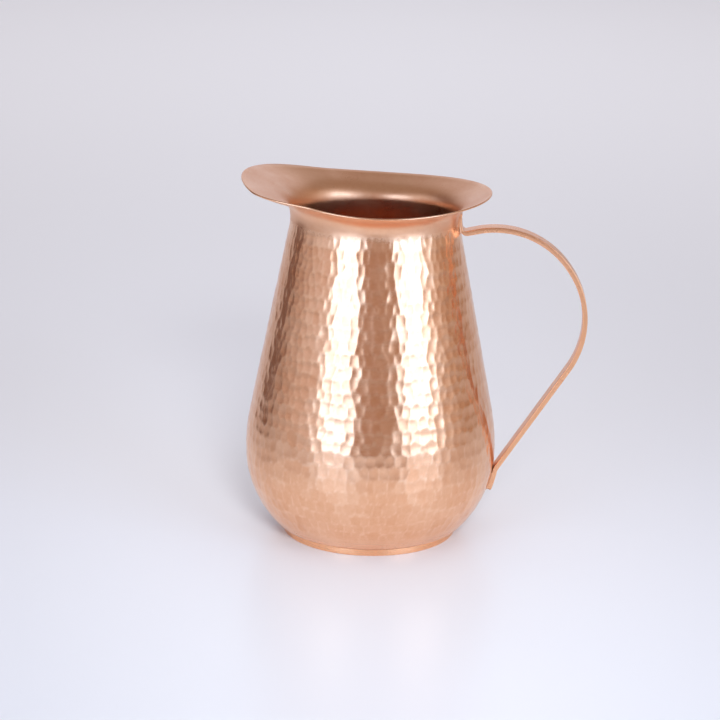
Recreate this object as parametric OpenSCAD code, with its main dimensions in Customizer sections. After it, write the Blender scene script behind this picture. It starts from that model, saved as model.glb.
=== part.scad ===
// Copper water jug: a pear-shaped sheet vessel with a flared, spouted lip,
// a low foot and a bent flat-bar handle.
// The origin is on the vessel's axis at floor level. +Z is up, the handle is
// towards +X and the spout towards -X. Angles round the axis start at the handle.

/* [Belly] */
// Radius of the widest part of the belly
belly_r = 75; // [74:0.5:76]
// Height of the widest part of the belly
belly_z = 51; // [50:0.5:52]
// Radius of the arc below the widest part
bowl_arc_r = 63; // [62:0.5:64]
// Radius of the arc above the widest part
shoulder_arc_r = 130; // [125:1:135]
// Lean of the straight taper from the vertical, in degrees
taper_angle = 11.3; // [11:0.1:11.6]
// Thickness of the copper sheet
sheet_t = 1; // [0.8:0.1:1.2]

/* [Neck and lip] */
// Height of the narrowest part of the neck, where the lip starts
neck_z = 193; // [191:1:194]
// Radius of the hollow arc where the taper meets the neck
throat_arc_r = 25; // [20:1:30]
// Radius of the round part of the rim
rim_r = 68.4; // [66:0.2:71]
// Distance from the axis to the spout's tip
spout_reach = 78.6; // [75:0.2:79]
// Radius of the broad arc across the spout's tip
spout_arc_r = 94; // [85:1:120]
// Angle from the handle at which the rim starts to widen into the spout
spout_from = 118; // [105:1:125]
// Angle from the handle at which the spout has its full width
spout_to = 150; // [140:1:160]
// Base height of the rim, before its two rises
rim_z = 201.9; // [201:0.1:203]
// Rise of the rim towards the handle
handle_rise = 6.3; // [4:0.1:7]
// Rise of the rim towards the spout
spout_rise = 14; // [11:0.1:14.5]
// Slope of the lip at its edge, in degrees above level
lip_slope = 24; // [18:1:30]

/* [Foot and base] */
// Outer radius of the foot ring
foot_r = 52; // [51:0.1:52.5]
// Height of the foot ring and of the seat on it
foot_h = 5; // [4.5:0.1:5.5]
// Thickness of the foot ring's strip
foot_t = 2; // [1.6:0.1:2.4]
// Radius of the bend where the belly turns in to its flange
heel_r = 3; // [2.5:0.1:3.5]
// Inner radius of the belly's turned-in flange
flange_r = 46; // [44:0.5:47]
// Thickness of the base plate
plate_t = 1; // [0.8:0.1:1.2]
// Height of the top of the base plate's upturned edge
plate_edge_z = 11; // [10:0.5:13]
// Thickness of the filler metal in the joints
braze_t = 0.2; // [0.15:0.05:0.3]
// Size of the filler fillets
braze_fillet = 1.2; // [0.8:0.1:1.4]

/* [Handle] */
// Width of the flat bar
bar_w = 11; // [9:0.5:12]
// Thickness of the flat bar
bar_t = 3; // [2.6:0.1:3.4]
// Thickness of the upper tab, which is forged thinner than the bar
tab_t = 1.6; // [1.4:0.1:2]
// Height of the bend between the upper tab and the arch
arch_z = 184.4; // [184:0.2:185]
// Height of the upper tab's end
tab_high_z = 196.5; // [196:0.1:197]
// Distance from the axis to the arch's upper corner, before rounding
arch_corner_x = 93.6; // [93:0.2:94.6]
// Height of the arch's upper corner, before rounding
arch_corner_z = 193.9; // [193.5:0.1:194.5]
// Radius of the arch's upper bend, on the bar's middle line
arch_bend_r = 52.5; // [48:0.5:52.5]
// Distance from the axis to the handle's outer corner, before rounding
outer_corner_x = 137; // [136.5:0.1:138]
// Height of the handle's outer corner, before rounding
outer_corner_z = 135.2; // [134:0.2:135.4]
// Radius of the handle's outer bend, on the bar's middle line
outer_bend_r = 54; // [50:0.5:54]
// Height of the bend between the leg and the lower tab
leg_z = 40.5; // [39.5:0.5:41.5]
// Height of the lower tab's end
tab_low_z = 28; // [26:0.5:30]

/* [Hidden] */

// Segments round a revolved shape, and round the lip
$fn = 96;
lip_sides = 96;
// Steps along the lip from the neck to the edge, and along each profile arc
lip_rows = 12;
arc_steps = 8;
// Radii of the small bends at the upper tab and at the lower one
tab_bend_r = 3;
leg_bend_r = 8;
// How far the tabs sink into the body's round face before they are shaped to it
tab_sink = 0.4;
// Steps along the handle's bends and its lower tab
bend_steps = 20;
tab_bend_steps = 8;
tab_steps = 4;
// Powers that shape the two rises of the rim
handle_rise_power = 2;
spout_rise_power = 2.85;
// How far the lip starts below the neck, inside the belly's wall, and how much
// it is inset there on both faces
lip_lap = 1;
lip_inset = 0.1;
// Shares of the lip's height and reach taken by its end tangents
neck_pull = 0.62;
edge_pull = 0.6;
// Bead of filler round each tab, beyond the bar and above the body
bead_w = 1.1;
bead_h = 0.8;
// Rows of the lip that the upper tab can reach
tab_lip_rows = 6;

copper = [0.80, 0.50, 0.36];
satin_copper = [0.76, 0.47, 0.33];
filler = [0.86, 0.66, 0.50];

// Points along an arc: centre c, radius r, from angle a to angle b
function arc(c, r, a, b, n = arc_steps) =
    [for (i = [0:n]) let (t = a + (b - a) * i / n) c + r * [cos(t), sin(t)]];

function unit(v) = v / norm(v);

// ---- The belly's profile, in the (radius, height) plane ----
bowl_c = [belly_r - bowl_arc_r, belly_z];
shoulder_c = [belly_r - shoulder_arc_r, belly_z];
heel_z = foot_h + heel_r;
heel_x = bowl_c.x + sqrt(pow(bowl_arc_r - heel_r, 2) - pow(belly_z - heel_z, 2));
heel_c = [heel_x, heel_z];
heel_angle = atan2(heel_z - belly_z, heel_x - bowl_c.x);
taper_start = shoulder_c + shoulder_arc_r * [cos(taper_angle), sin(taper_angle)];
taper_end_z = neck_z - throat_arc_r * sin(taper_angle);
taper_end_r = taper_start.x - (taper_end_z - taper_start.y) * tan(taper_angle);
neck_r = taper_end_r - throat_arc_r * (1 - cos(taper_angle));
throat_c = [neck_r + throat_arc_r, neck_z];

// The belly's wall from the heel to the neck, at a depth d under the outer face
function wall(d, steps = arc_steps) = concat(
    arc(heel_c, heel_r - d, -90, heel_angle, steps / 2),
    tail(arc(bowl_c, bowl_arc_r - d, heel_angle, 0, steps * 1.5)),
    tail(arc(shoulder_c, shoulder_arc_r - d, 0, taper_angle, steps / 2)),
    arc(throat_c, throat_arc_r + d, 180 + taper_angle, 180, steps / 2));

function tail(points) = [for (i = [1:len(points) - 1]) points[i]];
function reverse(points) = [for (i = [len(points) - 1:-1:0]) points[i]];

// ---- The lip: rim radius and height at angle a from the handle ----
function facing(a) = (1 + cos(a)) / 2;
function away(a) = (1 - cos(a)) / 2;
function fold(a) = abs(a > 180 ? a - 360 : a);
function ease(t) = let (s = max(0, min(1, t))) s * s * (3 - 2 * s);
// Reach of the broad arc across the spout's tip, seen from the axis
function spout_radius(a) = let (c = spout_arc_r - spout_reach)
    c * cos(a) + sqrt(pow(spout_arc_r, 2) - pow(c * sin(a), 2));
function rim_radius(a) = let (
    share = ease((fold(a) - spout_from) / (spout_to - spout_from)))
    rim_r + (spout_radius(a) - rim_r) * share;
function rim_height(a) = rim_z + handle_rise * pow(facing(a), handle_rise_power)
    + spout_rise * pow(away(a), spout_rise_power);

// Cubic curve from the neck, leaving it upright, to the rim at its slope
function lip_controls(a) = let (
    start = [neck_r, neck_z - lip_lap],
    rim = [rim_radius(a), rim_height(a)])
    [start,
     start + [0, neck_pull * (rim.y - start.y)],
     rim - edge_pull * (rim.x - start.x) * [1, tan(lip_slope)],
     rim];
function bezier(c, t) = pow(1 - t, 3) * c[0] + 3 * pow(1 - t, 2) * t * c[1]
    + 3 * (1 - t) * t * t * c[2] + pow(t, 3) * c[3];
function bezier_way(c, t) = unit(pow(1 - t, 2) * (c[1] - c[0])
    + 2 * (1 - t) * t * (c[2] - c[1]) + t * t * (c[3] - c[2]));
// A point of the lip's wall, d inside its outer face
function lip_point(a, t, d) = let (c = lip_controls(a), way = bezier_way(c, t))
    bezier(c, t) + d * [-way.y, way.x];

// The lip's closed wall: outer rows going up, then inner rows coming down. Each
// row is a share of the way up and a depth under the outer face.
module lip() {
    rows = concat(
        [for (i = [0:lip_rows]) let (t = i / lip_rows) [t, lip_inset * (1 - t)]],
        [for (i = [lip_rows:-1:0]) let (t = i / lip_rows)
            [t, sheet_t - lip_inset * (1 - t)]]);
    count = len(rows);
    points = [for (row = rows, k = [0:lip_sides - 1])
        let (a = 360 * k / lip_sides, p = lip_point(a, row[0], row[1]))
        [p.x * cos(a), p.x * sin(a), p.y]];
    faces = [for (j = [0:count - 1], k = [0:lip_sides - 1])
        let (up = (j + 1) % count, next = (k + 1) % lip_sides)
        each [
            [j * lip_sides + k, up * lip_sides + k, up * lip_sides + next],
            [j * lip_sides + k, up * lip_sides + next, j * lip_sides + next]]];
    polyhedron(points, faces);
}

// One raised sheet: a flange turned in under the belly, the belly, the neck
// and the flared lip
module body_shell() color(copper) {
    outer = concat([[flange_r, foot_h]], wall(0));
    inner = concat([[flange_r, foot_h + sheet_t]], wall(sheet_t));
    rotate_extrude() polygon(concat(outer, reverse(inner)));
    lip();
}

// ---- The base ----
// Depth under the outer face of the base plate's two faces
plate_out = sheet_t + braze_t;
plate_in = plate_out + plate_t;
// Part of the wall at depth d that lies below height z
function wall_below(d, z) = [for (p = wall(d)) if (p.y < z) p];
// Radius of the bowl arc at depth d and height z
function bowl_radius(d, z) =
    bowl_c.x + sqrt(pow(bowl_arc_r - d, 2) - pow(z - belly_z, 2));

// A pressed disc with its edge turned up against the inside of the belly
module base_plate() color(satin_copper) {
    under = concat([[0, foot_h + plate_out]], wall_below(plate_out, plate_edge_z),
                   [[bowl_radius(plate_out, plate_edge_z), plate_edge_z]]);
    over = concat([[0, foot_h + plate_in]], wall_below(plate_in, plate_edge_z),
                  [[bowl_radius(plate_in, plate_edge_z), plate_edge_z]]);
    rotate_extrude() polygon(concat(under, reverse(over)));
}

// Filler metal between the base plate and the belly, with a bead on the edge
module base_braze() color(filler) {
    bead_z = plate_edge_z + braze_fillet;
    under = concat([[flange_r, foot_h + sheet_t]], wall_below(sheet_t, bead_z),
                   [[bowl_radius(sheet_t, bead_z), bead_z]]);
    over = concat([[flange_r, foot_h + plate_out]],
                  wall_below(plate_out, plate_edge_z),
                  [[bowl_radius(plate_out, plate_edge_z), plate_edge_z],
                   [bowl_radius(plate_in, plate_edge_z), plate_edge_z]]);
    rotate_extrude() polygon(concat(under, reverse(over)));
}

// The strip ring that the jug stands on, with its lower edges eased
module foot_ring() color(satin_copper) {
    cut = foot_t / 4;
    top = foot_h - braze_t;
    rotate_extrude() polygon([
        [foot_r - foot_t, top],
        [foot_r - foot_t, cut],
        [foot_r - foot_t + cut, 0],
        [foot_r - cut, 0],
        [foot_r, cut],
        [foot_r, top]]);
}

// Filler metal on top of the foot ring, with a hollow fillet on both sides
module foot_braze() color(filler) {
    ring_top = foot_h - braze_t;
    outer_c = [foot_r + braze_fillet, foot_h - braze_fillet];
    inner_c = [foot_r - foot_t - braze_fillet, foot_h - braze_fillet];
    rotate_extrude() polygon(concat(
        arc(outer_c, braze_fillet, 90, 180),
        [[foot_r, ring_top], [foot_r - foot_t, ring_top]],
        arc(inner_c, braze_fillet, 0, 90)));
}

// ---- The handle ----
// A rounded corner at p between a and b, as points along an arc of radius r
function corner(a, p, b, r, n) = let (
    u = unit(a - p),
    w = unit(b - p),
    half = acos(u * w) / 2,
    c = p + unit(u + w) * r / sin(half),
    from = p + u * r / tan(half) - c,
    turn = sign(cross(w, u)) * (180 - 2 * half),
    start = atan2(from.y, from.x))
    arc(c, r, start, start + turn, n);

// A point of the bar's middle line where the bar lies on the belly at height z
function hug(z) = [bowl_radius(tab_sink - braze_t - bar_t / 2, z), z];
// Radius of the body's outer face at height z, on the taper and the throat arc
function neck_radius(z) = z < taper_end_z
    ? taper_end_r + (taper_end_z - z) * tan(taper_angle)
    : throat_c.x - sqrt(pow(throat_arc_r, 2) - pow(z - neck_z, 2));
// A point of the bar's middle line where the thinned tab lies on the neck
function lie(z) = [neck_radius(z) + braze_t + tab_t / 2 - tab_sink, z];
tab_turn = lie(arch_z);
high_tab = [lie(tab_high_z), lie(neck_z), lie(neck_z - tab_bend_r)];
arch_corner = [arch_corner_x, arch_corner_z];
outer_corner = [outer_corner_x, outer_corner_z];
leg_turn = hug(leg_z);
low_tab = [for (i = [1:tab_steps]) hug(leg_z + (tab_low_z - leg_z) * i / tab_steps)];

// The bar's middle line from the upper tab's end to the lower tab's end
bar_line = concat(
    high_tab,
    corner(high_tab[2], tab_turn, arch_corner, tab_bend_r, tab_bend_steps),
    corner(tab_turn, arch_corner, outer_corner, arch_bend_r, bend_steps),
    corner(arch_corner, outer_corner, leg_turn, outer_bend_r, bend_steps),
    corner(outer_corner, leg_turn, low_tab[0], leg_bend_r, tab_bend_steps),
    low_tab);
last = len(bar_line) - 1;

// Sideways direction of the bar's middle line at point i
function bar_side(i) = let (
    way = unit(bar_line[min(i + 1, last)] - bar_line[max(i - 1, 0)]))
    [-way.y, way.x];
// Half the bar's thickness at point i: it grows from the tab's to the full one
// through the first bend
function bar_half(i) = let (
    step = i - len(high_tab),
    share = max(0, min(1, step / tab_bend_steps)))
    (tab_t + (bar_t - tab_t) * share) / 2;

// The bar's side outline
module bar_outline() {
    left = [for (i = [0:last]) bar_line[i] + bar_half(i) * bar_side(i)];
    right = [for (i = [0:last]) bar_line[i] - bar_half(i) * bar_side(i)];
    polygon(concat(left, reverse(right)));
}

// An outline standing in the handle's plane, extruded to a width
module upright(width) {
    rotate([90, 0, 0]) linear_extrude(width, center = true) children();
}

// The body's outer face as a solid, grown by g, up to the lip above the handle
module body_solid(g) {
    lip_face = [for (i = [1:tab_lip_rows]) lip_point(0, i / lip_rows, -g)];
    top = lip_face[len(lip_face) - 1];
    rotate_extrude() polygon(concat(
        [[0, foot_h - g]], wall(-g), lip_face, [[0, top.y]]));
}

// One flat bar, bent into a loop, with its two tabs shaped to the body
module handle() color(satin_copper) {
    difference() {
        upright(bar_w) bar_outline();
        body_solid(braze_t);
    }
}

// Filler metal under and round the tab that lies between heights low and high
module tab_braze(low, high) {
    depth = bar_w + 2 * bead_w;
    $fn = 360;
    difference() {
        intersection() {
            body_solid(bead_h);
            translate([0, -depth / 2, low]) cube([2 * belly_r, depth, high - low]);
        }
        body_solid(0);
        upright(bar_w) bar_outline();
    }
}

module upper_braze() color(filler) tab_braze(arch_z - bead_w, tab_high_z + bead_w);

module lower_braze() color(filler) tab_braze(tab_low_z - bead_w, leg_z - bead_w);

body_shell();
base_plate();
base_braze();
foot_ring();
foot_braze();
handle();
upper_braze();
lower_braze();
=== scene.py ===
"""Copper water jug on a pale studio floor.

The hammered body, its lip, the flat-bar handle, the foot ring, the base plate and
the filler fillets are mesh pieces in the CAD model's frame, in metres. Shape
constants are in millimetres and match the CAD solids that the pieces replace. The
studio's are in metres and degrees.
"""
import math

import bpy
import numpy as np
from mathutils import Matrix, Vector

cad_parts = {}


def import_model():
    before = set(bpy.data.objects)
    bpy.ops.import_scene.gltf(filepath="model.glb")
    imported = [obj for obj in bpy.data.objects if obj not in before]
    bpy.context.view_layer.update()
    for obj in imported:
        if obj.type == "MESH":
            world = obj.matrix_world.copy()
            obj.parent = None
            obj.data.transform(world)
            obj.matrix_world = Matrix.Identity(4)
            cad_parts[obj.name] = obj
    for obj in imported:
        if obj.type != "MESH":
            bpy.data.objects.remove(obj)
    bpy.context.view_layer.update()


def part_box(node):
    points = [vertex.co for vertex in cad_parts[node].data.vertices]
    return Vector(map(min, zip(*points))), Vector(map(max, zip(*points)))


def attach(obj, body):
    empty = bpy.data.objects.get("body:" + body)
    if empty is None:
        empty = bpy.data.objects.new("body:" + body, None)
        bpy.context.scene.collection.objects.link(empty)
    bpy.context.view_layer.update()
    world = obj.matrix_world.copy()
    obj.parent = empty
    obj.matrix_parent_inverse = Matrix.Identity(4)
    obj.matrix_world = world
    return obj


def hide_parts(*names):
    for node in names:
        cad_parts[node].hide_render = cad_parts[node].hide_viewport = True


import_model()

MM = 0.001
TAU = 2 * math.pi

# ---- Sizes read from the CAD solids, in millimetres ----
shell_lo, shell_hi = (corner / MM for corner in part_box("body_shell"))
ring_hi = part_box("foot_ring")[1] / MM
handle_lo, handle_hi = (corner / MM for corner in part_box("handle"))
plate_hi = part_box("base_plate")[1] / MM

BELLY_R = shell_hi.y          # widest radius of the belly
FOOT_H = shell_lo.z           # height of the seat on the foot ring
FOOT_R = ring_hi.x            # outer radius of the foot ring
BAR_W = handle_hi.y - handle_lo.y

# ---- Shape constants of the sheet body ----
BELLY_Z = 51.0
BOWL_ARC_R = 63.0
SHOULDER_ARC_R = 130.0
TAPER = math.radians(11.3)
SHEET_T = 1.0
NECK_Z = 193.0
THROAT_ARC_R = 25.0
HEEL_R = 3.0
FLANGE_R = 46.0
RIM_R = 68.4
SPOUT_REACH = 78.6
SPOUT_ARC_R = 94.0
SPOUT_FROM = math.radians(118)
SPOUT_TO = math.radians(150)
RIM_Z = 201.9
HANDLE_RISE = 6.3
SPOUT_RISE = 14.0
LIP_SLOPE = math.radians(24)
NECK_PULL = 0.62
EDGE_PULL = 0.6
LIP_LAP = 1.0

# ---- The flat-bar handle ----
BAR_T = 3.0
TAB_T = 1.6
BRAZE_T = 0.2
TAB_SINK = 0.4
ARCH_Z = 184.4
TAB_HIGH_Z = 196.5
ARCH_CORNER = (93.6, 193.9)
ARCH_BEND_R = 52.5
OUTER_CORNER = (137.0, 135.2)
OUTER_BEND_R = 54.0
LEG_Z = 40.5
TAB_LOW_Z = 28.0
TAB_BEND_R = 3.0
LEG_BEND_R = 8.0
BAR_EDGE_R = 0.45             # rounding of the bar's long edges

# ---- The hammer marks ----
MARKS_ROUND = 80              # marks in one ring
MARK_PITCH = 7.3              # height of one ring of marks
MARK_TOP_Z = 190.2            # the marks stop here, under the smooth collar
MARK_LOW_Z = 11.0             # and fade out here, above the foot
MARK_SLOPE_ROUND = 0.115      # slope at a mark's side edges
MARK_SLOPE_UP = 0.115         # slope at its upper and lower edges
MARK_SEED = 11
RIDGE_WIDTH = 0.045           # depth over which a ridge's polish fades into its marks

# ---- The foot, the base plate and their filler ----
RING_T = 2.0
RING_EDGE_R = 0.6             # rounding of the foot ring's lower edges
PLATE_T = 1.0
BRAZE_FILLET = 1.2            # reach of the filler at the ring and the plate's edge
DISC_FLAT_R = 51.0
DISC_RING_DEPTH = 0.03        # faint rings left by spinning the disc
DISC_RING_RATE = 1.3          # their phase in radians for each millimetre

# ---- Rows of the meshes, and small shapes ----
FINE = MARKS_ROUND * 7
COARSE = FINE // 2
HAMMER_ROWS = 131
INNER_ROWS = 30
INNER_MARKS_Z = 118.0         # the marks show on the inside down to here
RIM_ROUND = 0.3
BAR_STEP = 1.0
COLLAR_WAVES = ((9, 0.5, 1.0), (23, 0.6, 2.0), (41, 0.8, 0.5), (80, 0.9, 0.0))
FILLET_SIZE = 0.95            # reach of the filler beyond a tab's edge
FILLET_HEIGHT = 0.7

# ---- Materials ----
RING_SQUEEZE = 0.0012         # radius that the way round the axis is squeezed to, in metres
TONE_SCALE = 34.0             # clouds of tone about 30 mm across
SMUDGE_SCALE = 60.0           # handling marks about 15 mm across
BRUSH_SCALE = 2600.0          # fine lines about 0.4 mm apart
BRUSH_DEPTH = 0.000012
PIT_SCALE = 1400.0
PIT_SHARE = 0.35

COPPER = (0.97, 0.60, 0.39)
COPPER_DEEP = (0.83, 0.42, 0.23)
# The foot ring's copper is partly its own more orange finish and partly painted light: both tones
# are lighter than the body's, which paints in a reflection of the bright floor in front of the
# band.
FOOT_TONE_AND_PAINTED_LIGHT = (1.0, 0.56, 0.32)
FOOT_DEEP_AND_PAINTED_LIGHT = (0.97, 0.50, 0.27)
BAR_COPPER = (0.97, 0.53, 0.31)
BAR_DEEP = (0.87, 0.43, 0.22)
FILLER = (0.88, 0.56, 0.36)
FILLER_DEEP = (0.80, 0.45, 0.27)

# ---- Shares of the satin finish, from 0 for polished ----
SATIN_FLANGE = 0.5
SATIN_HEEL = 0.3
SATIN_LIP = 0.65
SATIN_RIM = 0.1
SATIN_INSIDE = 0.5

# ---- Shares of the darker tone ----
FACET_TONE = 0.40             # how much a mark's own tone counts
RIDGE_TONE = 0.6              # how much less of it there is on a ridge

# ---- The studio ----
CAMERA_AT = Vector((0.0567, -1.2988, 0.4745))
CAMERA_AIM = Vector((-0.04730, 0.96073, -0.27344))
CAMERA_ROLL = math.radians(1.09)
CAMERA_LENS = 113.16
CAMERA_AZIMUTH = math.atan2(CAMERA_AT.x, -CAMERA_AT.y)
PANEL_EDGE_ACROSS = 0.28      # soft edges of the light panels, as shares of their size
PANEL_EDGE_UP = 0.16
PANEL_LIGHT = [               # a panel's light from its edge, at 0, to its middle, at 1
    (0.0, (0.0, 0.0, 0.0)), (0.4, (0.07, 0.11, 0.16)),
    (0.75, (0.24, 0.38, 0.54)), (1.0, (0.50, 0.70, 1.0))]
OVERHEADS = (                 # place, tilt, width and power of the lights for the floor
    ((0.15, -0.8, 1.7), 0, 2.0, 2.5),
    ((0.0, 0.9, 2.6), 0, 4.0, 24.0),
    ((0.0, 2.2, 2.2), 35, 3.0, 22.0))

SPOT_AT = Vector((0.25, -1.35, 0.75))
SPOT_AIM = Vector((0, -0.06, 0))
SPOT_CONE = math.radians(26)
SPOT_POWER = 75.0
FLOOR_RADIUS = 7
FLOOR_COLOUR = (0.78, 0.81, 0.87)
FLOOR_ROUGHNESS = 0.29
FLAG_SIDES = (-124, -107)     # angles right of the camera
FLAG_DISTANCE = 0.6
FLAG_HEIGHT = 0.6
FLAG_GAP = 0.002              # under its lower edge
FLAG_COLOUR = (0.26, 0.17, 0.14)
PANELS = (("softbox_left", -56, -9), ("softbox_right", 20, 72))    # angles, as above
PANEL_LOW = -0.05
PANEL_HIGH = 1.0
PANEL_DISTANCE = 1.25
PANEL_RADIANCE = 3.0
# Sines of the elevations between which the horizon gives way to the room, and the
# room to the ceiling
HORIZON_BAND = (-0.03, 0.12)
CEILING_BAND = (0.45, 0.85)

# Brightness of the studio round the jug, by the angle right of the camera
ROOM = [
    (-180, (0.80, 0.80, 0.90)), (-152, (0.58, 0.56, 0.62)), (-136, (0.38, 0.32, 0.32)),
    (-125, (0.17, 0.11, 0.10)), (-106, (0.17, 0.11, 0.10)), (-97, (0.42, 0.38, 0.42)),
    (-84, (0.66, 0.64, 0.70)), (-62, (0.74, 0.72, 0.82)), (-50, (0.60, 0.54, 0.54)),
    (-14, (0.46, 0.36, 0.34)), (0, (0.44, 0.32, 0.28)), (22, (0.48, 0.38, 0.34)),
    (66, (0.86, 0.84, 0.90)), (80, (0.72, 0.66, 0.66)), (95, (0.50, 0.38, 0.31)),
    (115, (0.43, 0.31, 0.24)), (140, (0.44, 0.37, 0.35)), (155, (0.60, 0.58, 0.64)),
    (180, (0.80, 0.80, 0.90))]
CEILING = (0.34, 0.27, 0.235)
# The same close to the height of the floor
HORIZON = [
    (-180, (0.80, 0.78, 0.86)), (-158, (0.56, 0.48, 0.48)), (-95, (0.60, 0.50, 0.48)),
    (-60, (0.76, 0.72, 0.76)), (-12, (0.42, 0.32, 0.28)), (22, (0.42, 0.32, 0.28)),
    (66, (0.80, 0.76, 0.78)), (85, (0.62, 0.50, 0.44)), (108, (0.42, 0.30, 0.22)),
    (158, (0.42, 0.33, 0.29)), (180, (0.80, 0.78, 0.86))]


def seeded(seed):
    return np.random.default_rng(seed)


# ---------------------------------------------------------------------------
# The body's outline, in the (radius, height) plane
# ---------------------------------------------------------------------------
bowl_c = np.array([BELLY_R - BOWL_ARC_R, BELLY_Z])
shoulder_c = np.array([BELLY_R - SHOULDER_ARC_R, BELLY_Z])
heel_z = FOOT_H + HEEL_R
heel_c = np.array([
    bowl_c[0] + math.sqrt((BOWL_ARC_R - HEEL_R) ** 2 - (BELLY_Z - heel_z) ** 2), heel_z])
heel_end = math.atan2(heel_z - BELLY_Z, heel_c[0] - bowl_c[0])
taper_start = shoulder_c + SHOULDER_ARC_R * np.array([math.cos(TAPER), math.sin(TAPER)])
taper_end_z = NECK_Z - THROAT_ARC_R * math.sin(TAPER)
taper_end = np.array([
    taper_start[0] - (taper_end_z - taper_start[1]) * math.tan(TAPER), taper_end_z])
neck_r = taper_end[0] - THROAT_ARC_R * (1 - math.cos(TAPER))
throat_c = np.array([neck_r + THROAT_ARC_R, NECK_Z])


def arc(centre, radius, start, end, steps):
    """Points and outward normals along an arc, from angle start to angle end."""
    t = np.linspace(start, end, steps + 1)
    way = np.stack([np.cos(t), np.sin(t)], 1)
    return centre + radius * way, way


def wall_outline():
    """Dense points and outward normals of the outer face, from the heel to the neck."""
    heel, heel_n = arc(heel_c, HEEL_R, -math.pi / 2, heel_end, 40)
    bowl, bowl_n = arc(bowl_c, BOWL_ARC_R, heel_end, 0, 400)
    shoulder, shoulder_n = arc(shoulder_c, SHOULDER_ARC_R, 0, TAPER, 200)
    throat, throat_n = arc(throat_c, THROAT_ARC_R, math.pi + TAPER, math.pi, 80)
    points = np.concatenate([heel, bowl[1:], shoulder[1:], throat])
    normals = np.concatenate([heel_n, bowl_n[1:], shoulder_n[1:], -throat_n])
    return points, normals


wall_points, wall_normals = wall_outline()
wall_run = np.concatenate([[0], np.cumsum(np.linalg.norm(np.diff(wall_points, axis=0), axis=1))])


def run_at_height(z):
    """Distance along the outline, from the start of the heel, at height z."""
    return float(np.interp(z, wall_points[:, 1], wall_run))


def wall_at(run):
    """Points and normals of the outline at distances run along it."""
    point = np.stack([np.interp(run, wall_run, wall_points[:, k]) for k in (0, 1)], -1)
    normal = np.stack([np.interp(run, wall_run, wall_normals[:, k]) for k in (0, 1)], -1)
    return point, normal / np.linalg.norm(normal, axis=-1, keepdims=True)


# ---------------------------------------------------------------------------
# The lip: its rim and its wall, at angle a round the axis from the handle
# ---------------------------------------------------------------------------
def ease(t):
    t = np.clip(t, 0, 1)
    return t * t * (3 - 2 * t)


def rim_at(a):
    """Rim radius and height at angles a."""
    folded = np.abs((a + math.pi) % TAU - math.pi)
    lever = SPOUT_ARC_R - SPOUT_REACH
    spout = lever * np.cos(a) + np.sqrt(SPOUT_ARC_R ** 2 - (lever * np.sin(a)) ** 2)
    share = ease((folded - SPOUT_FROM) / (SPOUT_TO - SPOUT_FROM))
    radius = RIM_R + (spout - RIM_R) * share
    facing = (1 + np.cos(a)) / 2
    height = RIM_Z + HANDLE_RISE * facing ** 2 + SPOUT_RISE * (1 - facing) ** 2.85
    return radius, height


def lip_at(a, t, depth):
    """Points of the lip at angles a, share t of the way up, depth under its outer face."""
    rim_radius, rim_height = rim_at(a)
    start = np.stack([np.full_like(a, neck_r), np.full_like(a, NECK_Z - LIP_LAP)], -1)
    rim = np.stack([rim_radius, rim_height], -1)
    reach = (rim - start)[..., :1]
    rise = (rim - start)[..., 1:]
    low = start + np.concatenate([0 * rise, NECK_PULL * rise], -1)
    high = rim - EDGE_PULL * np.concatenate([reach, reach * math.tan(LIP_SLOPE)], -1)
    point = ((1 - t) ** 3 * start + 3 * (1 - t) ** 2 * t * low
             + 3 * (1 - t) * t ** 2 * high + t ** 3 * rim)
    way = ((1 - t) ** 2 * (low - start) + 2 * (1 - t) * t * (high - low)
           + t ** 2 * (rim - high))
    way /= np.linalg.norm(way, axis=-1, keepdims=True)
    return point + depth * np.stack([-way[..., 1], way[..., 0]], -1)


# ---------------------------------------------------------------------------
# The hammer marks, as a depth under the outer face
# ---------------------------------------------------------------------------
mark_rows = int(math.ceil((run_at_height(MARK_TOP_Z) - run_at_height(MARK_LOW_Z)) / MARK_PITCH))
_random = seeded(MARK_SEED)
_shape = (mark_rows, MARKS_ROUND)
mark_shift = _random.normal(0, 0.07, _shape)         # sideways, in marks
mark_lift = _random.normal(0, 0.11, _shape)          # upwards, in rings
mark_lean = _random.normal(0, 0.09, _shape)          # lean of the mark's long axis
mark_deep = 1 + _random.normal(0, 0.20, _shape)      # depth, as a share of the usual one
mark_flat = 1 + _random.normal(0, 0.15, _shape)      # curvature, as a share of the usual one
mark_tone = np.clip(_random.normal(0.5, 0.28, _shape), 0, 1)


def hammer_marks(angle, run, radius):
    """Depth of the hammered face at angles round the axis and distances up the wall, a
    share that is 1 on the ridges between marks, and each mark's own tone."""
    top = run_at_height(MARK_TOP_Z)
    ring = (top - run) / MARK_PITCH - 0.5            # 0 at the centre of the top ring
    width = TAU * radius / MARKS_ROUND
    deepest = np.zeros(np.broadcast(angle, run).shape)
    second = deepest.copy()
    tone = np.full_like(deepest, 0.5)
    nearest_ring = np.round(ring).astype(int)
    for step in (-1, 0, 1):
        j = np.clip(nearest_ring + step, 0, mark_rows - 1)
        stagger = (j % 2) * 0.5 + 0.13 * np.sin(j * 2.4)
        column = angle / TAU * MARKS_ROUND - stagger
        nearest = np.round(column).astype(int)
        for side in (-1, 0, 1):
            i = (nearest + side) % MARKS_ROUND
            across = 2 * (column - nearest - side - mark_shift[j, i])
            along = 2 * (ring - j - mark_lift[j, i])
            across = across - mark_lean[j, i] * along
            round_drop = MARK_SLOPE_ROUND * width / 4
            up_drop = MARK_SLOPE_UP * MARK_PITCH / 4
            depth = (round_drop + 0.75 * up_drop) * mark_deep[j, i]
            depth = depth - mark_flat[j, i] * (round_drop * across ** 2 + up_drop * along ** 2)
            second = np.maximum(second, np.minimum(deepest, depth))
            tone = np.where(depth > deepest, mark_tone[j, i], tone)
            deepest = np.maximum(deepest, depth)
    fade = ease((run - run_at_height(MARK_LOW_Z)) / MARK_PITCH)
    ridge = np.exp((second - deepest) / RIDGE_WIDTH) * fade
    return deepest * fade, ridge, tone * fade


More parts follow.
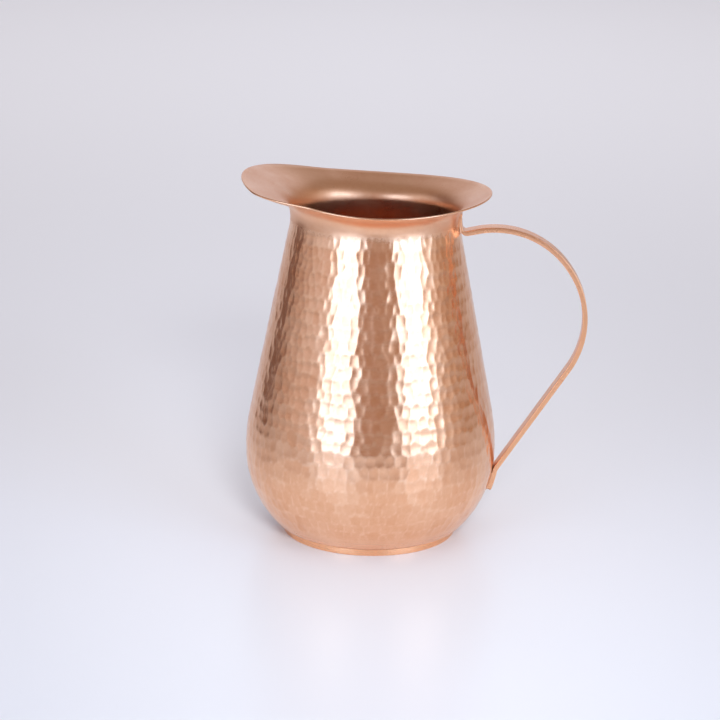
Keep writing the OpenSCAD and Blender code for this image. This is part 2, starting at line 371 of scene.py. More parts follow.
# ---------------------------------------------------------------------------
# Mesh helpers
# ---------------------------------------------------------------------------
def lathe_rows(rows_rz, angles):
    """Vertices for rows of (radius, height), each an array over the angles, in metres."""
    out = []
    for radius, height in rows_rz:
        radius = np.broadcast_to(radius, angles.shape)
        height = np.broadcast_to(height, angles.shape)
        out.append(np.stack([radius * np.cos(angles), radius * np.sin(angles), height], -1))
    return [row * MM for row in out]


def make_piece(name, verts, faces, node, slot, material, **shares):
    """A mesh object that stands for a CAD node. Each of shares has a value per vertex."""
    mesh = bpy.data.meshes.new(name)
    mesh.from_pydata(np.asarray(verts).tolist(), [], faces)
    mesh.update()
    mesh.polygons.foreach_set("use_smooth", [True] * len(mesh.polygons))
    for key, values in shares.items():
        layer = mesh.attributes.new(key, "FLOAT", "POINT")
        layer.data.foreach_set("value", np.broadcast_to(values, len(verts)).astype(np.float32))
    piece = bpy.data.objects.new(name, mesh)
    bpy.context.scene.collection.objects.link(piece)
    mesh.materials.append(material)
    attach(piece, "root")
    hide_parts(node)


def ring_faces(base, above, count):
    """Quads between two rows of count vertices that start at base and above."""
    k = np.arange(count)
    up = (k + 1) % count
    return np.stack([base + k, base + up, above + up, above + k], 1).tolist()


def halving_faces(fine_base, coarse_base, coarse_count, coarse_above):
    """Five-sided faces between a row of 2n vertices and a row of n."""
    faces = []
    for k in range(coarse_count):
        up = (k + 1) % coarse_count
        fine = [fine_base + 2 * k, fine_base + 2 * k + 1, fine_base + 2 * up]
        coarse = [coarse_base + up, coarse_base + k]
        faces.append(fine + coarse if coarse_above else (coarse + fine)[::-1])
    return faces


# ---------------------------------------------------------------------------
# Materials
# ---------------------------------------------------------------------------
def add(tree, kind, **values):
    """A node of a kind, with its properties and its input values set by name."""
    node = tree.nodes.new(kind)
    for key, value in values.items():
        if hasattr(node, key):
            setattr(node, key, value)
        else:
            node.inputs[key.replace("_", " ")].default_value = value
    return node


def polar_coordinates(tree, round_scale):
    """Coordinates that run along the radius, round the axis and up, in metres. Round the
    axis they are squeezed by round_scale, so that noise on them makes rings."""
    links = tree.links
    place = add(tree, "ShaderNodeTexCoord")
    split = add(tree, "ShaderNodeSeparateXYZ")
    links.new(place.outputs["Object"], split.inputs["Vector"])
    flat = add(tree, "ShaderNodeCombineXYZ")
    links.new(split.outputs["X"], flat.inputs["X"])
    links.new(split.outputs["Y"], flat.inputs["Y"])
    radius = add(tree, "ShaderNodeVectorMath", operation="LENGTH")
    links.new(flat.outputs["Vector"], radius.inputs[0])
    turn = add(tree, "ShaderNodeVectorMath", operation="NORMALIZE")
    links.new(flat.outputs["Vector"], turn.inputs[0])
    squeeze = add(tree, "ShaderNodeVectorMath", operation="SCALE")
    squeeze.inputs["Scale"].default_value = round_scale
    links.new(turn.outputs["Vector"], squeeze.inputs[0])
    lift = add(tree, "ShaderNodeCombineXYZ")
    links.new(radius.outputs["Value"], lift.inputs["X"])
    links.new(split.outputs["Z"], lift.inputs["Z"])
    total = add(tree, "ShaderNodeVectorMath", operation="ADD")
    links.new(squeeze.outputs["Vector"], total.inputs[0])
    links.new(lift.outputs["Vector"], total.inputs[1])
    return total.outputs["Vector"], place.outputs["Object"]


def noise(tree, vector, scale, detail=3.0, rough=0.55):
    node = add(tree, "ShaderNodeTexNoise")
    node.inputs["Scale"].default_value = scale
    node.inputs["Detail"].default_value = detail
    node.inputs["Roughness"].default_value = rough
    tree.links.new(vector, node.inputs["Vector"])
    return node.outputs["Fac"]


def ranged(tree, value, low, high, to_low, to_high):
    node = add(tree, "ShaderNodeMapRange")
    keys = ("From Min", "From Max", "To Min", "To Max")
    for key, number in zip(keys, (low, high, to_low, to_high)):
        node.inputs[key].default_value = number
    tree.links.new(value, node.inputs["Value"])
    return node.outputs["Result"]


def combined(tree, operation, first, second):
    node = add(tree, "ShaderNodeMath", operation=operation)
    for slot, value in enumerate((first, second)):
        if isinstance(value, (int, float)):
            node.inputs[slot].default_value = value
        else:
            tree.links.new(value, node.inputs[slot])
    return node.outputs["Value"]


def copper(name, colour, deep, polished, satin, brush=None):
    """Copper whose tone wanders between colour and deep. Its roughness runs from polished
    to satin with the piece's satin attribute, and brush says how its fine lines run:
    round the axis, or along the vector (x, y, z) scales given."""
    material = bpy.data.materials.new(name)
    material.use_nodes = True
    tree = material.node_tree
    links = tree.links
    shader = tree.nodes["Principled BSDF"]
    shader.inputs["Metallic"].default_value = 1.0
    rings, place = polar_coordinates(tree, RING_SQUEEZE)

    cloud = noise(tree, place, TONE_SCALE, 4.0, 0.6)
    fine_tone = noise(tree, place, TONE_SCALE * 14, 2.0)
    ridge = add(tree, "ShaderNodeAttribute")
    ridge.attribute_name = "ridge"
    tone = combined(tree, "ADD", ranged(tree, cloud, 0.3, 0.7, 0.0, 0.5),
                    ranged(tree, fine_tone, 0.35, 0.75, 0.0, 0.2))
    facet = add(tree, "ShaderNodeAttribute")
    facet.attribute_name = "facet"
    tone = combined(tree, "ADD", tone, combined(tree, "MULTIPLY", facet.outputs["Fac"], FACET_TONE))
    bright = combined(tree, "MULTIPLY", ridge.outputs["Fac"], RIDGE_TONE)
    tone = combined(tree, "SUBTRACT", tone, bright)
    mix = add(tree, "ShaderNodeMix", data_type="RGBA")
    mix.inputs["A"].default_value = (*colour, 1)
    mix.inputs["B"].default_value = (*deep, 1)
    links.new(tone, mix.inputs["Factor"])
    links.new(mix.outputs["Result"], shader.inputs["Base Color"])

    if brush == "round":
        lines = noise(tree, rings, BRUSH_SCALE, 2.0, 0.7)
    else:
        stretch = add(tree, "ShaderNodeMapping")
        stretch.inputs["Scale"].default_value = brush or (1, 1, 1)
        links.new(place, stretch.inputs["Vector"])
        lines = noise(tree, stretch.outputs["Vector"], BRUSH_SCALE, 2.0, 0.7)

    share = add(tree, "ShaderNodeAttribute")
    share.attribute_name = "satin"
    gloss = ranged(tree, share.outputs["Fac"], 0, 1, polished, satin)
    smudge = ranged(tree, noise(tree, place, SMUDGE_SCALE, 3.0), 0.3, 0.7, 0.85, 1.18)
    lined = ranged(tree, lines, 0.3, 0.7, 0.88, 1.14)
    roughness = combined(tree, "MULTIPLY", combined(tree, "MULTIPLY", gloss, smudge), lined)
    links.new(roughness, shader.inputs["Roughness"])

    pits = noise(tree, place, PIT_SCALE, 2.0)
    relief = combined(tree, "ADD", combined(tree, "MULTIPLY", pits, PIT_SHARE),
                      combined(tree, "MULTIPLY", lines, share.outputs["Fac"]))
    bump = add(tree, "ShaderNodeBump")
    bump.inputs["Strength"].default_value = 1.0
    bump.inputs["Distance"].default_value = BRUSH_DEPTH
    links.new(relief, bump.inputs["Height"])
    links.new(bump.outputs["Normal"], shader.inputs["Normal"])
    return material


hammered_copper = copper("hammered_copper", COPPER, COPPER_DEEP, 0.20, 0.42, "round")
satin_copper = copper("satin_copper", COPPER, COPPER_DEEP, 0.24, 0.30, "round")
# The foot ring's material is partly painted light: its lighter copper paints in the bright floor
# reflected in the band.
foot_copper_and_painted_light = copper("foot_copper_and_painted_light", FOOT_TONE_AND_PAINTED_LIGHT, FOOT_DEEP_AND_PAINTED_LIGHT, 0.22, 0.30, "round")
handle_copper = copper("handle_copper", BAR_COPPER, BAR_DEEP, 0.26, 0.28, (0.03, 1, 0.03))
filler = copper("filler", FILLER, FILLER_DEEP, 0.30, 0.36)


# ---------------------------------------------------------------------------
# The body
# ---------------------------------------------------------------------------
def body_shell():
    """The raised sheet: hammered outside, with a smooth collar and lip, and inside."""
    fine = np.arange(FINE) * TAU / FINE
    coarse = np.arange(COARSE) * TAU / COARSE
    plain = np.arange(COARSE // 2) * TAU / (COARSE // 2)
    hammer_from = run_at_height(MARK_LOW_Z) - 1.0
    hammer_to = run_at_height(MARK_TOP_Z) + 0.6
    verts, starts, satin, ridges, tones = [], [], [], [], []

    def add_row(angles, point, sheen, ridge=0.0, tone=0.0):
        starts.append((sum(len(row) for row in verts), len(angles)))
        verts.extend(lathe_rows([(point[..., 0], point[..., 1])], angles))
        satin.append(np.broadcast_to(sheen, len(angles)))
        ridges.append(np.broadcast_to(ridge, len(angles)))
        tones.append(np.broadcast_to(tone, len(angles)))

    def wall_row(angles, run, depth, hammered, sheen):
        runs = np.full_like(angles, run)
        point, normal = wall_at(runs)
        ridge = tone = 0.0
        if hammered:
            marks, ridge, tone = hammer_marks(angles, runs, point[:, 0])
            depth = depth + hammered * marks
        add_row(angles, point - normal * np.reshape(depth, (-1, 1)), sheen, ridge, tone)

    # outer face, from the flange's inner edge upwards
    for radius in (FLANGE_R, FLANGE_R + 0.15, FLANGE_R + 3):
        add_row(coarse, np.array([radius, FOOT_H]), SATIN_FLANGE)
    for run in np.linspace(0, hammer_from, 8)[:-1]:
        wall_row(coarse, run, 0, 0, SATIN_HEEL)
    for run in np.linspace(hammer_from, hammer_to, HAMMER_ROWS):
        smooth = ease((run - hammer_to + 2.5 + collar_wave(fine)) / 3.5)
        wall_row(fine, run, 0, 1, SATIN_LIP * smooth)
    for run in np.linspace(hammer_to, wall_run[-1], 4)[1:-1]:
        wall_row(coarse, run, 0, 0, SATIN_LIP)
    lip_shares = np.linspace(0.04, 1, 13)
    for t in lip_shares:
        add_row(coarse, lip_at(coarse, t, 0) - rim_drop(coarse, t), SATIN_LIP)
    for turn in np.radians([45, 90, 135]):
        out_edge, in_edge = lip_at(coarse, 1, 0), lip_at(coarse, 1, SHEET_T)
        across = out_edge + (in_edge - out_edge) * (1 - math.cos(turn)) / 2
        add_row(coarse, across - rim_drop(coarse, 1) * (1 - math.sin(turn)), SATIN_RIM)
    # inner face, downwards
    for t in lip_shares[::-1]:
        add_row(coarse, lip_at(coarse, t, SHEET_T) - rim_drop(coarse, t), SATIN_LIP)
    top, mid = wall_run[-1] - 1.0, run_at_height(INNER_MARKS_Z)
    for run in np.linspace(top, mid, INNER_ROWS):
        wall_row(coarse, run, SHEET_T, ease((hammer_to - run) / 4), SATIN_INSIDE)
    for run in np.linspace(mid, 3, 14)[1:]:
        wall_row(plain, run, SHEET_T, 0, SATIN_INSIDE)
    for radius in (FLANGE_R + 4, FLANGE_R):
        add_row(plain, np.array([radius, FOOT_H + SHEET_T]), 1)

    make_piece("jug_body", np.concatenate(verts), closed_faces(starts), "body_shell",
               "hammered_copper", hammered_copper, satin=np.concatenate(satin),
               ridge=np.concatenate(ridges), facet=np.concatenate(tones))


def collar_wave(angles):
    """How far the collar's smooth finish reaches down between the top marks."""
    return sum(size * np.sin(k * angles + shift) for k, size, shift in COLLAR_WAVES)


def rim_drop(angles, t):
    """Room for the rim's rounded edge, so that the round ends where the CAD's rim does."""
    way = lip_at(angles, 1, 0) - lip_at(angles, 0.98, 0)
    way /= np.linalg.norm(way, axis=-1, keepdims=True)
    return way * RIM_ROUND * ease((t - 0.8) / 0.2)


def closed_faces(starts):
    """Faces of a tube whose rows start at (first vertex, count), joined end to end."""
    faces = []
    closed = starts + starts[:1]
    for (base, count), (above, count_above) in zip(closed, closed[1:]):
        if count == count_above:
            faces += ring_faces(base, above, count)
        elif count > count_above:
            faces += halving_faces(base, above, count_above, True)
        else:
            faces += halving_faces(above, base, count, False)
    return faces


def lathe(name, outline, node, slot, material, sheen=1.0, sides=192, wave=0.0, seed=1):
    """A ring or disc from a closed outline of (radius, height), given outwards and up the
    outer side. wave makes a filler bead slightly uneven, in millimetres."""
    angles = np.arange(sides) * TAU / sides
    random = seeded(seed)
    verts, starts, tops = [], [], []
    for radius, height in outline:
        if radius < 1e-6:
            tops.append((len(starts), sum(len(row) for row in verts)))
            verts.append(np.array([[0, 0, height * MM]]))
            continue
        wobble = wave * sum(random.normal(0, 1) * np.sin(k * angles + random.uniform(0, TAU)) / k
                            for k in (3, 5, 8, 13, 21))
        starts.append((sum(len(row) for row in verts), sides))
        verts.extend(lathe_rows([(radius + wobble, height)], angles))
    faces = []
    if tops:
        for (base, count), (above, _) in zip(starts, starts[1:]):
            faces += ring_faces(base, above, count)
        k = np.arange(sides)
        first, last = starts[0][0], starts[-1][0]
        low, high = tops[0][1], tops[-1][1]
        faces += [[low, first + (n + 1) % sides, first + n] for n in k]
        faces += [[high, last + n, last + (n + 1) % sides] for n in k]
    else:
        faces = closed_faces(starts)
    verts = np.concatenate(verts)
    make_piece(name, verts, faces, node, slot, material, satin=sheen)


def rounded(outline, radius, steps=4, keep=()):
    """An outline with its corners rounded; the corners in keep stay as they are."""
    points = [np.array(p, float) for p in outline]
    out = []
    for n, corner in enumerate(points):
        before, after = points[n - 1], points[(n + 1) % len(points)]
        if n in keep:
            out.append(corner)
            continue
        back, ahead = before - corner, after - corner
        reach = min(radius, 0.45 * np.linalg.norm(back), 0.45 * np.linalg.norm(ahead))
        start = corner + back / np.linalg.norm(back) * reach
        end = corner + ahead / np.linalg.norm(ahead) * reach
        for t in np.linspace(0, 1, steps + 1):
            out.append((1 - t) ** 2 * start + 2 * t * (1 - t) * corner + t ** 2 * end)
    return out


# ---------------------------------------------------------------------------
# The foot and the base
# ---------------------------------------------------------------------------
def foot_ring():
    """The strip ring, with rounded edges."""
    inner = FOOT_R - RING_T
    top = FOOT_H - BRAZE_T
    shade = top - 0.1
    outline = [(inner, 0), (FOOT_R, 0), (FOOT_R, top / 2), (FOOT_R, shade), (FOOT_R, top),
               (inner, top), (inner, shade), (inner, top / 2)]
    lathe("foot_ring_strip", rounded(outline, RING_EDGE_R, keep=(2, 3, 4, 5, 6, 7)), "foot_ring",
          "satin_copper", foot_copper_and_painted_light, 0.6, 240)


def foot_braze():
    """Filler on top of the ring, with a hollow fillet on both sides."""
    size = BRAZE_FILLET
    inner = FOOT_R - RING_T
    outline = [(inner, FOOT_H - BRAZE_T), (FOOT_R, FOOT_H - BRAZE_T)]
    for centre, start, end in ((FOOT_R + size, math.pi, math.pi / 2),
                               (inner - size, math.pi / 2, 0)):
        for turn in np.linspace(start, end, 7):
            outline.append((centre + size * math.cos(turn),
                            FOOT_H - size + size * math.sin(turn)))
    lathe("foot_fillet", outline, "foot_braze", "filler", filler, 1.0, 240, 0.03, 5)


def base_wall(depth, top):
    """Points of the wall under height top, at a depth under the outer face."""
    runs = np.linspace(0, run_at_height(top), 12)
    point, normal = wall_at(runs)
    return [tuple(p) for p in point - normal * depth]


def disc_ring(radius):
    """Height of the disc's faint spinning rings at a radius."""
    return DISC_RING_DEPTH * math.cos(radius * DISC_RING_RATE)


def base_plate():
    """The pressed disc, with its upturned edge and faint rings from spinning."""
    out_depth = SHEET_T + BRAZE_T
    low, high = FOOT_H + out_depth, FOOT_H + out_depth + PLATE_T
    under = [(0, low)] + [(r, low) for r in np.linspace(2, DISC_FLAT_R, 30)]
    under = [(r, z + disc_ring(r)) for r, z in under]
    edge = base_wall(out_depth, plate_hi.z)[1:]
    back = base_wall(out_depth + PLATE_T, plate_hi.z)[1:][::-1]
    over = [(r, high + disc_ring(r)) for r in np.linspace(DISC_FLAT_R, 2, 30)] + [(0, high)]
    lathe("base_disc", under + edge + back + over, "base_plate", "satin_copper", satin_copper)


def base_braze():
    """Filler between the base plate and the body, with a bead on the plate's edge."""
    bead = plate_hi.z + BRAZE_FILLET
    under = [(FLANGE_R, FOOT_H + SHEET_T)] + base_wall(SHEET_T, bead)
    over = base_wall(SHEET_T + BRAZE_T, plate_hi.z)
    edge = base_wall(SHEET_T + BRAZE_T + PLATE_T, plate_hi.z)[-1]
    start, end = np.array(under[-1]), np.array(edge)
    corner = np.array(over[-1])
    hollow = [tuple((1 - t) ** 2 * start + 2 * t * (1 - t) * (corner + [0, 0.3]) + t ** 2 * end)
              for t in np.linspace(0, 1, 7)[1:]]
    lathe("base_fillet", under + hollow + over[::-1] + [(FLANGE_R, FOOT_H + SHEET_T + BRAZE_T)],
          "base_braze", "filler", filler)


# ---------------------------------------------------------------------------
# The handle
# ---------------------------------------------------------------------------
lip_line = lip_at(np.zeros(40), np.linspace(0.02, 0.5, 40)[:, None], 0)
face_line = np.concatenate([wall_points[wall_points[:, 1] < NECK_Z - LIP_LAP], lip_line])


def body_radius(z):
    """Radius of the body's outer face at height z, on the handle's side."""
    return float(np.interp(z, face_line[:, 1], face_line[:, 0]))


def hug(z):
    """The bar's middle line where the bar lies on the belly."""
    grown = BOWL_ARC_R + BRAZE_T + BAR_T / 2 - TAB_SINK
    return np.array([bowl_c[0] + math.sqrt(grown ** 2 - (z - BELLY_Z) ** 2), z])


def lie(z):
    """The bar's middle line where the thin upper tab lies on the neck."""
    if z < NECK_Z:
        radius = body_radius(z)
    else:
        radius = throat_c[0] - math.sqrt(THROAT_ARC_R ** 2 - (z - NECK_Z) ** 2)
    return np.array([radius + BRAZE_T + TAB_T / 2 - TAB_SINK, z])


def unit(v):
    return v / np.linalg.norm(v)


def corner(before, at, after, radius, steps):
    """A rounded corner at a point, as points along an arc."""
    u, w = unit(before - at), unit(after - at)
    half = math.acos(float(u @ w)) / 2
    centre = at + unit(u + w) * radius / math.sin(half)
    start = at + u * radius / math.tan(half) - centre
    turn = math.copysign(math.pi - 2 * half, float(w[0] * u[1] - w[1] * u[0]))
    first = math.atan2(start[1], start[0])
    return list(arc(centre, radius, first, first + turn, steps)[0])


def bar_line():
    """The bar's middle line and its thickness, from the upper tab's end downwards."""
    arch, outer = np.array(ARCH_CORNER), np.array(OUTER_CORNER)
    high_tab = [lie(z) for z in np.linspace(TAB_HIGH_Z, NECK_Z - TAB_BEND_R, 6)]
    tab_turn, leg_turn = lie(ARCH_Z), hug(LEG_Z)
    low_tab = [hug(z) for z in np.linspace(LEG_Z, TAB_LOW_Z, 9)[2:]]
    first_bend = corner(high_tab[-1], tab_turn, arch, TAB_BEND_R, 10)
    line = (high_tab + first_bend + corner(tab_turn, arch, outer, ARCH_BEND_R, 60)
            + corner(arch, outer, leg_turn, OUTER_BEND_R, 60)
            + corner(outer, leg_turn, low_tab[0], LEG_BEND_R, 10) + low_tab)
    grow = (np.arange(len(line)) - len(high_tab)) / (len(first_bend) - 1)
    thick = TAB_T + (BAR_T - TAB_T) * np.clip(grow, 0, 1)
    return even_spacing(np.array(line), thick, BAR_STEP)


def even_spacing(line, thick, step):
    """The same line and thickness at an even spacing."""
    run = np.concatenate([[0], np.cumsum(np.linalg.norm(np.diff(line, axis=0), axis=1))])
    even = np.linspace(0, run[-1], int(run[-1] / step) + 1)
    points = np.stack([np.interp(even, run, line[:, k]) for k in (0, 1)], 1)
    return points, np.interp(even, run, thick)


def bar_section(half_w, half_t, edge):
    """A flat bar's rounded section: offsets across it and through its thickness. Its two
    wide faces have points along them, for the curved seats of the tabs."""
    points = []
    # each corner's side and face, its first angle, and the points along the edge after it
    corners = ((1, 1, 0, 7), (-1, 1, 90, 1), (-1, -1, 180, 7), (1, -1, 270, 1))
    for side, face, start, between in corners:
        for turn in np.radians(np.linspace(start, start + 90, 5)):
            points.append(np.array([side * (half_w - edge) + edge * math.cos(turn),
                                    face * (half_t - edge) + edge * math.sin(turn)]))
        if side != face:
            after = np.array([side * half_w, -face * (half_t - edge)])
        else:
            after = np.array([-side * (half_w - edge), face * half_t])
        last = points[-1]
        shares = np.linspace(0, 1, between + 2)[1:-1]
        points += [last + (after - last) * t for t in shares]
    return points


def handle():
    """The bent bar, with its tabs shaped to the body behind them."""
    line, thick = bar_line()
    way = np.gradient(line, axis=0)
    way /= np.linalg.norm(way, axis=1, keepdims=True)
    out = np.stack([-way[:, 1], way[:, 0]], 1)          # towards the bar's outer face
    rows = []
    last = len(line) - 1
    for n, (at, normal, t) in enumerate(zip(line, out, thick)):
        end = min(n, last - n) * BAR_STEP
        narrow = BAR_EDGE_R * (1 - math.sqrt(max(0, 1 - (1 - min(1, end / BAR_EDGE_R)) ** 2)))
        half_w, half_t = BAR_W / 2 - narrow - 0.02, t / 2 - 0.5 * narrow - 0.03
        row = []
        for across, through in bar_section(half_w, half_t, min(BAR_EDGE_R, 0.45 * t)):
            point = at + normal * through
            seat = seat_radius(point[1], across)
            if seat is not None and through < 0:
                point = np.array([max(point[0], seat), point[1]])
            row.append((point[0] * MM, across * MM, point[1] * MM))
        rows.append(np.array(row))
    sides = len(rows[0])
    verts = np.concatenate(rows)
    faces = []
    for n in range(last):
        faces += ring_faces(n * sides, (n + 1) * sides, sides)
    k = list(range(sides))
    faces.append(k[::-1])
    faces.append([last * sides + n for n in k])
    make_piece("handle_bar", verts, faces, "handle", "handle_copper", handle_copper, satin=1.0)


def seat_radius(z, across):
    """Distance from the axis plane to the face that a tab sits on, or None off the body."""
    if not TAB_LOW_Z - 1 < z < TAB_HIGH_Z + 1:
        return None
    return math.sqrt((body_radius(z) + BRAZE_T) ** 2 - across ** 2)


def over_body(y, z, lift):
    """The point at a side offset y and a height z that stands lift over the body."""
    return np.array([math.sqrt((body_radius(z) + lift) ** 2 - y ** 2), y, z])


def tab_fillet(name, node, open_z, end_z, seed):
    """Filler round a tab: a hollow fillet up both edges and across the free end, at
    height end_z. The other end, at open_z, is left open for the bar's bend."""
    random = seeded(seed)
    half = BAR_W / 2
    up = math.copysign(1, end_z - open_z)
    turn_r = 0.6
    path = [(half, z, 1, 0) for z in np.linspace(open_z, end_z - up * turn_r, 18)]
    for side in (1, -1):
        start, end = (0, math.pi / 2) if side > 0 else (math.pi / 2, 0)
        for turn in np.linspace(start, end, 5)[1:-1]:
            path.append((side * (half - turn_r + turn_r * math.cos(turn)),
                         end_z - up * turn_r * (1 - math.sin(turn)),
                         side * math.cos(turn), up * math.sin(turn)))
        if side > 0:
            path += [(y, end_z, 0, up) for y in np.linspace(half - turn_r, turn_r - half, 10)]
    path += [(-half, z, -1, 0) for z in np.linspace(end_z - up * turn_r, open_z, 18)]
    sizes = FILLET_SIZE * (1 + 0.14 * np.interp(np.arange(len(path)), np.arange(0, len(path), 4),
                                                random.normal(0, 1, len(path[::4]))))
    rows = []
    for (across, z, way_y, way_z), size in zip(path, sizes):
        # how far out from the tab's edge, and how high over the body
        reaches = ((-0.35, -0.05), (-0.06, FILLET_HEIGHT), (0.1, 0.12), (size, -0.04))
        inner, top, root, toe = (over_body(across + way_y * out, z + way_z * out, lift)
                                 for out, lift in reaches)
        rows.append([inner] + [(1 - t) ** 2 * top + 2 * t * (1 - t) * root + t ** 2 * toe
                               for t in np.linspace(0, 1, 7)])
    sides = len(rows[0])
    verts = np.array(rows).reshape(-1, 3) * MM
    faces = []
    for n in range(len(rows) - 1):
        faces += ring_faces(n * sides, (n + 1) * sides, sides)
    first = list(range(sides))
    faces.append(first[::-1])
    faces.append([(len(rows) - 1) * sides + n for n in first])
    if up < 0:
        faces = [face[::-1] for face in faces]
    make_piece(name, verts, faces, node, "filler", filler, satin=1.0)


# ---------------------------------------------------------------------------
# The studio: floor, lights, world and camera
# ---------------------------------------------------------------------------
def camera():
    data = bpy.data.cameras.new("camera")
    data.lens = CAMERA_LENS
    data.sensor_width = 36
    obj = bpy.data.objects.new("camera", data)
    right = CAMERA_AIM.cross(Vector((0, 0, 1))).normalized()
    up = right.cross(CAMERA_AIM)
    turned_right = math.cos(CAMERA_ROLL) * right + math.sin(CAMERA_ROLL) * up
    turned_up = -math.sin(CAMERA_ROLL) * right + math.cos(CAMERA_ROLL) * up
    basis = Matrix((turned_right, turned_up, -CAMERA_AIM.normalized())).transposed()
    obj.matrix_world = Matrix.Translation(CAMERA_AT) @ basis.to_4x4()
    bpy.context.scene.collection.objects.link(obj)
    bpy.context.scene.camera = obj


def studio_direction(angle):
    """Level direction from the jug, at an angle right of the camera as the camera sees it."""
    turned = CAMERA_AZIMUTH + math.radians(angle)
    return Vector((math.sin(turned), -math.cos(turned), 0))


def set_stops(ramp, stops):
    """Give a colour ramp its stops, each a position and a colour."""
    elements = ramp.color_ramp.elements
    while len(elements) > 1:
        elements.remove(elements[-1])
    for n, (position, colour) in enumerate(stops):
        stop = elements[0] if n == 0 else elements.new(position)
        stop.position = position
        stop.color = (*colour, 1)


def softbox(name, left, right):
    """A soft panel that spans angles left to right of the camera.
    It is brightest in the middle and falls off towards its edges."""
    width = 2 * PANEL_DISTANCE * math.tan(math.radians((right - left) / 2))
    data = bpy.data.lights.new(name, "AREA")
    data.shape = "RECTANGLE"
    data.size = width
    data.size_y = PANEL_HIGH - PANEL_LOW
    data.energy = math.pi * width * (PANEL_HIGH - PANEL_LOW) * PANEL_RADIANCE
    data.use_nodes = True
    tree = data.node_tree
    links = tree.links
    place = add(tree, "ShaderNodeNewGeometry")
    split = add(tree, "ShaderNodeSeparateXYZ")
    links.new(place.outputs["Parametric"], split.inputs["Vector"])
    shares = []
    for axis, edge in (("X", PANEL_EDGE_ACROSS), ("Y", PANEL_EDGE_UP)):
        centred = add(tree, "ShaderNodeMath", operation="SUBTRACT")
        centred.inputs[1].default_value = 0.5
        size = add(tree, "ShaderNodeMath", operation="ABSOLUTE")
        fall = add(tree, "ShaderNodeMapRange", interpolation_type="SMOOTHERSTEP")
        fall.inputs["From Min"].default_value = 0.5
        fall.inputs["From Max"].default_value = 0.5 - edge
        links.new(split.outputs[axis], centred.inputs[0])
        links.new(centred.outputs["Value"], size.inputs[0])
        links.new(size.outputs["Value"], fall.inputs["Value"])
        shares.append(fall.outputs["Result"])
    ramp = add(tree, "ShaderNodeValToRGB")
    set_stops(ramp, PANEL_LIGHT)
    links.new(combined(tree, "MULTIPLY", shares[0], shares[1]), ramp.inputs["Fac"])
    links.new(ramp.outputs["Color"], tree.nodes["Emission"].inputs["Color"])
    obj = bpy.data.objects.new(name, data)
    middle = studio_direction((left + right) / 2)
    obj.location = middle * PANEL_DISTANCE + Vector((0, 0, (PANEL_LOW + PANEL_HIGH) / 2))
    obj.rotation_euler = (-middle).to_track_quat("-Z", "Y").to_euler()
    obj.visible_camera = False
    bpy.context.scene.collection.objects.link(obj)


def flag():
    """A dark screen that darkens the side reflections. The camera does not see it."""
    near, far = (studio_direction(side) * FLAG_DISTANCE for side in FLAG_SIDES)
    lift = Vector((0, 0, FLAG_HEIGHT))
    foot = Vector((0, 0, FLAG_GAP))
    mesh = bpy.data.meshes.new("flag")
    mesh.from_pydata([near + foot, far + foot, far + lift, near + lift], [], [(0, 1, 2, 3)])
    material = bpy.data.materials.new("flag")
    material.use_nodes = True
    shader = material.node_tree.nodes["Principled BSDF"]
    shader.inputs["Base Color"].default_value = (*FLAG_COLOUR, 1)
    shader.inputs["Roughness"].default_value = 0.9
    mesh.materials.append(material)
    obj = bpy.data.objects.new("flag", mesh)
    obj.visible_camera = False
    bpy.context.scene.collection.objects.link(obj)


def overhead(number, place, tilt, size, power):
    """A wide soft light above the jug, for the floor."""
    data = bpy.data.lights.new(f"overhead_{number}", "AREA")
    data.shape = "DISK"
    data.size = size
    data.energy = power
    obj = bpy.data.objects.new(data.name, data)
    obj.location = place
    obj.rotation_euler = (math.radians(tilt), 0, 0)
    obj.visible_camera = False
    obj.visible_glossy = False
    bpy.context.scene.collection.objects.link(obj)


def front_spot():
    """A soft spot from the camera's side that lights the floor round the foot."""
    data = bpy.data.lights.new("front_spot", "SPOT")
    data.energy = SPOT_POWER
    data.spot_size = SPOT_CONE
    data.spot_blend = 1.0
    data.shadow_soft_size = 0.2
    obj = bpy.data.objects.new("front_spot", data)
    obj.location = SPOT_AT
    obj.rotation_euler = (SPOT_AIM - SPOT_AT).to_track_quat("-Z", "Y").to_euler()
    obj.visible_camera = False
    obj.visible_glossy = False
    bpy.context.scene.collection.objects.link(obj)


def floor():
    """The plain pale floor."""
    bpy.ops.mesh.primitive_circle_add(vertices=96, radius=FLOOR_RADIUS, fill_type="NGON")
    obj = bpy.context.object
    obj.name = "floor"
    material = bpy.data.materials.new("floor")
    material.use_nodes = True
    shader = material.node_tree.nodes["Principled BSDF"]
    shader.inputs["Base Color"].default_value = (*FLOOR_COLOUR, 1)
    shader.inputs["Roughness"].default_value = FLOOR_ROUGHNESS
    shader.inputs["Specular IOR Level"].default_value = 0.5
    obj.data.materials.append(material)


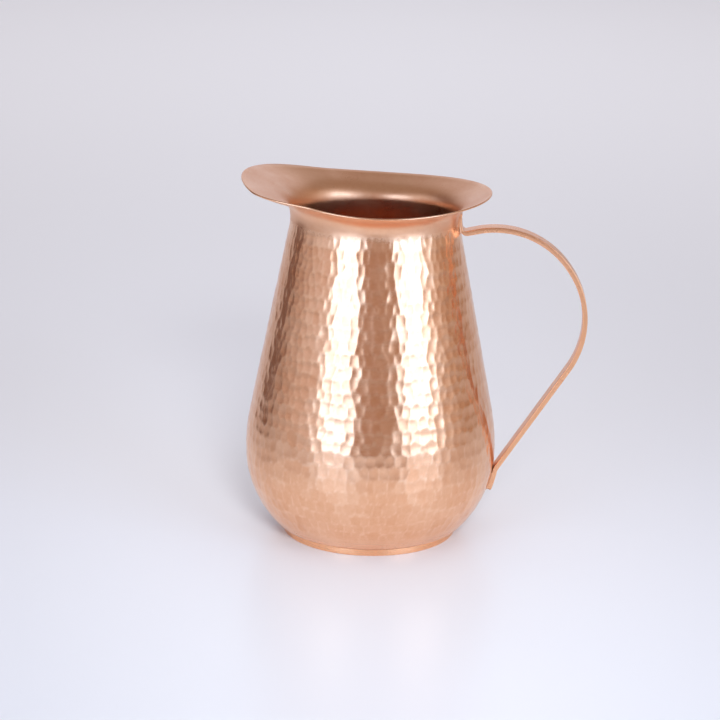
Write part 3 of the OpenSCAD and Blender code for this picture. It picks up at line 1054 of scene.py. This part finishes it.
def world():
    """A studio that is brighter on some sides than on others, with a plain ceiling. Near
    the floor it has colours of its own, which blend into the walls. Where the floor
    ends, a horizon can be seen from the sides and from behind."""
    scene_world = bpy.data.worlds.new("studio")
    scene_world.use_nodes = True
    bpy.context.scene.world = scene_world
    tree = scene_world.node_tree
    links = tree.links
    where = add(tree, "ShaderNodeTexCoord")
    turn = add(tree, "ShaderNodeVectorRotate", rotation_type="Z_AXIS")
    turn.inputs["Angle"].default_value = -CAMERA_AZIMUTH
    split = add(tree, "ShaderNodeSeparateXYZ")
    away = add(tree, "ShaderNodeMath", operation="MULTIPLY")
    away.inputs[1].default_value = -1
    angle = add(tree, "ShaderNodeMath", operation="ARCTAN2")
    share = add(tree, "ShaderNodeMapRange")
    share.inputs["From Min"].default_value = -math.pi
    share.inputs["From Max"].default_value = math.pi
    ramps = []
    for stops in (ROOM, HORIZON):
        ramp = add(tree, "ShaderNodeValToRGB")
        set_stops(ramp, [((degrees + 180) / 360, colour) for degrees, colour in stops])
        links.new(share.outputs["Result"], ramp.inputs["Fac"])
        ramps.append(ramp)
    foot = add(tree, "ShaderNodeMapRange", interpolation_type="SMOOTHSTEP")
    foot.inputs["From Min"].default_value = HORIZON_BAND[0]
    foot.inputs["From Max"].default_value = HORIZON_BAND[1]
    walls = add(tree, "ShaderNodeMix", data_type="RGBA")
    rise = add(tree, "ShaderNodeMapRange", interpolation_type="SMOOTHSTEP")
    rise.inputs["From Min"].default_value = CEILING_BAND[0]
    rise.inputs["From Max"].default_value = CEILING_BAND[1]
    mix = add(tree, "ShaderNodeMix", data_type="RGBA")
    mix.inputs["B"].default_value = (*CEILING, 1)
    links.new(where.outputs["Generated"], turn.inputs["Vector"])
    links.new(turn.outputs["Vector"], split.inputs["Vector"])
    links.new(split.outputs["Y"], away.inputs[0])
    links.new(split.outputs["X"], angle.inputs[0])
    links.new(away.outputs["Value"], angle.inputs[1])
    links.new(angle.outputs["Value"], share.inputs["Value"])
    links.new(split.outputs["Z"], rise.inputs["Value"])
    links.new(rise.outputs["Result"], mix.inputs["Factor"])
    links.new(split.outputs["Z"], foot.inputs["Value"])
    links.new(foot.outputs["Result"], walls.inputs["Factor"])
    links.new(ramps[1].outputs["Color"], walls.inputs["A"])
    links.new(ramps[0].outputs["Color"], walls.inputs["B"])
    links.new(walls.outputs["Result"], mix.inputs["A"])
    background = tree.nodes["Background"]
    links.new(mix.outputs["Result"], background.inputs["Color"])
    background.inputs["Strength"].default_value = 1.0


camera()
floor()
world()
for panel in PANELS:
    softbox(*panel)
flag()
for number, light in enumerate(OVERHEADS):
    overhead(number, *light)
front_spot()
bpy.context.scene.view_settings.view_transform = "Standard"

body_shell()
foot_ring()
foot_braze()
base_plate()
base_braze()
handle()
tab_fillet("upper_fillet", "upper_braze", ARCH_Z + 1, TAB_HIGH_Z, 21)
tab_fillet("lower_fillet", "lower_braze", LEG_Z - 2, TAB_LOW_Z, 22)
